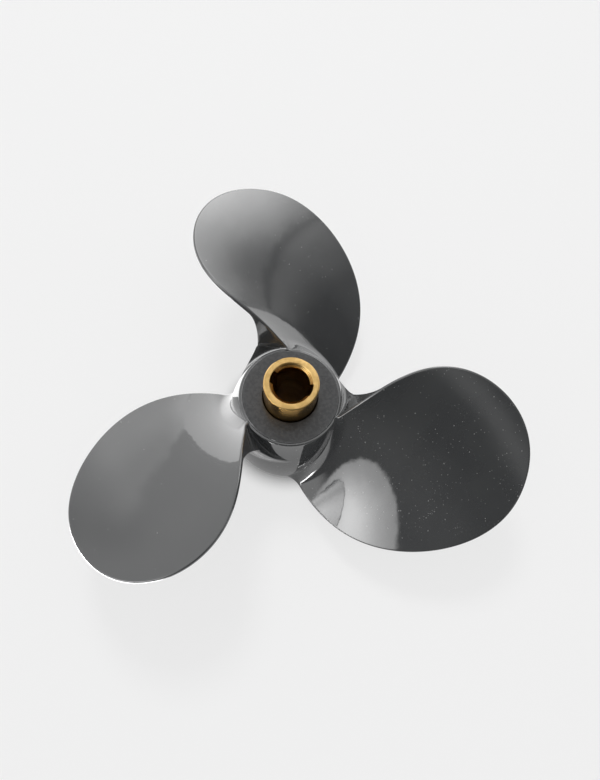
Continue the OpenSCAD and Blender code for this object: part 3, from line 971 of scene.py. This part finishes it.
def lamp(name, azimuth, elevation, distance, size, energy):
    """A round lamp that faces the part and shows in no reflection."""
    data = bpy.data.lights.new(name, "AREA")
    data.shape = "DISK"
    data.size = size
    data.energy = energy
    holder = bpy.data.objects.new(name, data)
    holder.location = sky(azimuth, elevation, distance)
    holder.rotation_euler = (-holder.location).to_track_quat("-Z", "Y").to_euler()
    holder.visible_glossy = False
    bpy.context.scene.collection.objects.link(holder)


def hang(name, points, faces, material):
    """Adds a sheet that only reflections see."""
    mesh = bpy.data.meshes.new(name)
    mesh.from_pydata(points, [], faces)
    mesh.materials.append(material)
    sheet = bpy.data.objects.new(name, mesh)
    bpy.context.scene.collection.objects.link(sheet)
    sheet.visible_camera = False
    sheet.visible_diffuse = False
    sheet.visible_shadow = False
    sheet.visible_transmission = False


def heading(n):
    """Azimuth, clouded a little, elevation and distance along the floor of the point that is shaded."""
    place = n.add("ShaderNodeNewGeometry").outputs["Position"]
    x, y, z = n.add("ShaderNodeSeparateXYZ", Vector=place).outputs
    cloud = n.line(n.noise(place, scale=CLOUD_SCALE, detail=4.0), slope=CLOUD, start=-CLOUD / 2)
    azimuth = n.plus(n.math("DEGREES", n.math("ARCTAN2", x, y)), cloud)
    azimuth = n.math("WRAP", azimuth, FIRST_AZIMUTH + 360, FIRST_AZIMUTH)
    away = n.length(x, y)
    elevation = n.math("DEGREES", n.math("ARCTAN2", z, away))
    return azimuth, elevation, away


def card(name, rows, glow, top=90.0):
    """A sheet from rows of points; glow works out its brightness, which fades to white at the top."""
    material = bpy.data.materials.new(name)
    n = Nodes(material)
    azimuth, elevation, away = heading(n)
    lit = glow(n, azimuth, elevation, away)
    fade = n.ramp(elevation, low=top - WALL_FADE, high=top)
    lit = n.line(fade, slope=n.math("SUBTRACT", WHITE, lit), start=lit)
    n.finish(n.add("ShaderNodeEmission", Color=(1, 1, 1, 1), Strength=lit))
    points = [p for row in rows for p in row]
    size = len(rows[0])
    starts = [i * size + k for i in range(len(rows) - 1) for k in range(size - 1)]
    hang(name, points, [(c, c + 1, c + size + 1, c + size) for c in starts], material)


def wall(name, azimuths, top, glow):
    """A far curved card that stands on the floor."""
    shares = [i / WALL_STEPS for i in range(WALL_STEPS + 1)]
    rows = [[sky(mix(*azimuths, s), mix(WALL_FOOT, top, t), WALL_R) for t in shares] for s in shares]
    card(name, rows, glow, top)


def mat(name, near, reach, glow, lift=MAT_LIFT):
    """A sheet on the floor from a near distance to the far distance that is given for each azimuth."""
    low = Vector((0, 0, floor_z + lift))
    card(name, [(sky(a, 0, near) + low, sky(a, 0, far) + low) for a, far in reach], glow)


def back_glow(n, azimuth, elevation, away):
    """Pale, brighter low down and right of a slanting edge, with one dim patch."""
    slant = n.line(elevation, slope=0.85, start=azimuth)
    step = n.line(n.ramp(elevation, low=10.0, high=0.0), slope=0.3, start=0.22)
    lit = n.times(n.ramp(slant, low=-20.5, high=-17.5), step)
    lit = n.line(n.ramp(slant, low=-17.0, high=-3.0), slope=0.28, start=lit)
    lit = n.times(lit, n.ramp(elevation, low=34.0, high=25.0))
    patch = n.times(n.bell(azimuth, middle=-46.0, width=7.0), n.bell(elevation, middle=37.0, width=6.0))
    return n.plus(lit, n.line(patch, slope=-0.2, start=0.88))


def right_glow(n, azimuth, elevation, away):
    """Dim, with a bright window at its left and a dark post beside that."""
    dim = n.line(n.ramp(elevation, low=24.0, high=34.0), slope=0.08, start=0.08)
    side = n.line(n.bell(azimuth, middle=18.0, width=15.0), slope=1.5, start=dim)
    side = n.line(n.ramp(azimuth, low=78.0, high=54.0), slope=0.33, start=side)
    window = n.times(n.bell(azimuth, middle=24.0, width=19.0), n.bell(elevation, middle=38.0, width=9.5))
    post = n.line(n.bell(azimuth, middle=50.0, width=2.4), slope=-0.4, start=1.0)
    return n.times(n.line(window, slope=2.6, start=side), post)


def front_glow(n, azimuth, elevation, away):
    """Dark, with a soft slanting stripe at its left, a paler right end and one large oval window."""
    dim = n.line(n.ramp(azimuth, low=175.0, high=212.0), slope=0.12, start=0.05)
    slant = n.line(elevation, slope=-0.5, start=azimuth)
    dim = n.line(n.bell(slant, middle=121.0, width=6.5), slope=0.24, start=dim)
    dim = n.line(n.ramp(azimuth, low=244.0, high=258.0), slope=0.8, start=dim)
    across = n.math("DIVIDE", n.math("SUBTRACT", azimuth, 246.0), 29.0)
    upward = n.math("DIVIDE", n.math("SUBTRACT", elevation, 34.5), 23.0)
    oval = n.ramp(n.length(across, upward), low=1.07, high=0.96)
    heart = n.times(n.bell(azimuth, middle=245.0, width=16.0), n.bell(elevation, middle=35.0, width=16.0))
    window = n.line(heart, slope=3.3, start=1.45)
    return n.line(oval, slope=n.math("SUBTRACT", window, dim), start=dim)


def near_glow(n, azimuth, elevation, away):
    """White, dimmer beside the hub and at its right end, and brighter at its left end."""
    lit = n.line(n.ramp(away, low=0.025, high=0.06), slope=0.7, start=0.9)
    lit = n.line(n.ramp(azimuth, low=-35.0, high=-60.0), slope=0.4, start=lit)
    return n.line(n.ramp(azimuth, low=5.0, high=25.0), slope=-0.4, start=lit)


def far_glow(n, azimuth, elevation, away):
    """Grey, and darker towards its right end."""
    return n.line(n.ramp(azimuth, low=45.0, high=65.0), slope=-0.32, start=0.5)


def front_floor_glow(n, azimuth, elevation, away):
    """Pale in a ring round the part, darker beside the hub and far away."""
    near = n.line(n.ramp(away, low=0.028, high=0.085), slope=0.55, start=0.36)
    return n.line(n.ramp(away, low=0.2, high=0.5), slope=-0.78, start=near)


def left_floor_glow(n, azimuth, elevation, away):
    """Grey, with one bright patch that is brightest at its near side."""
    along = n.times(n.ramp(azimuth, low=196.0, high=207.0), n.ramp(azimuth, low=254.0, high=242.0))
    across = n.times(n.ramp(away, low=0.11, high=0.127), n.ramp(away, low=0.22, high=0.18))
    patch = n.line(n.ramp(away, low=0.165, high=0.13), slope=12.0, start=7.5)
    return n.line(n.times(along, across), slope=patch, start=0.6)


near_reach = [
    (-95, 0.10), (-80, 0.15), (-65, 0.25), (-57, 0.35), (-48, 0.70), (-35, 0.70), (-26, 0.70), (-18, WALL_R),
    (-5, WALL_R), (0, 1.2), (16, 0.71), (32, 0.70), (46, 0.69), (68, 0.69), (80, 0.3),
]
lamp("key", azimuth=-10, elevation=55, distance=1.2, size=0.3, energy=5.5)
wall("back", (-84, 10), top=51, glow=back_glow)
wall("right", (10, 128), top=62, glow=right_glow)
wall("front", (128, 276), top=76, glow=front_glow)
mat("near_floor", MAT_NEAR, near_reach, near_glow)
mat("far_floor", 0.7, [(a, WALL_R) for a in range(14, 104, 10)], far_glow)
mat("front_floor", MAT_NEAR, [(a, WALL_R) for a in range(110, 260, 10)], front_floor_glow)
mat("left_floor", 0.1, [(a, 0.3) for a in range(200, 257, 4)], left_floor_glow, lift=2 * MAT_LIFT)
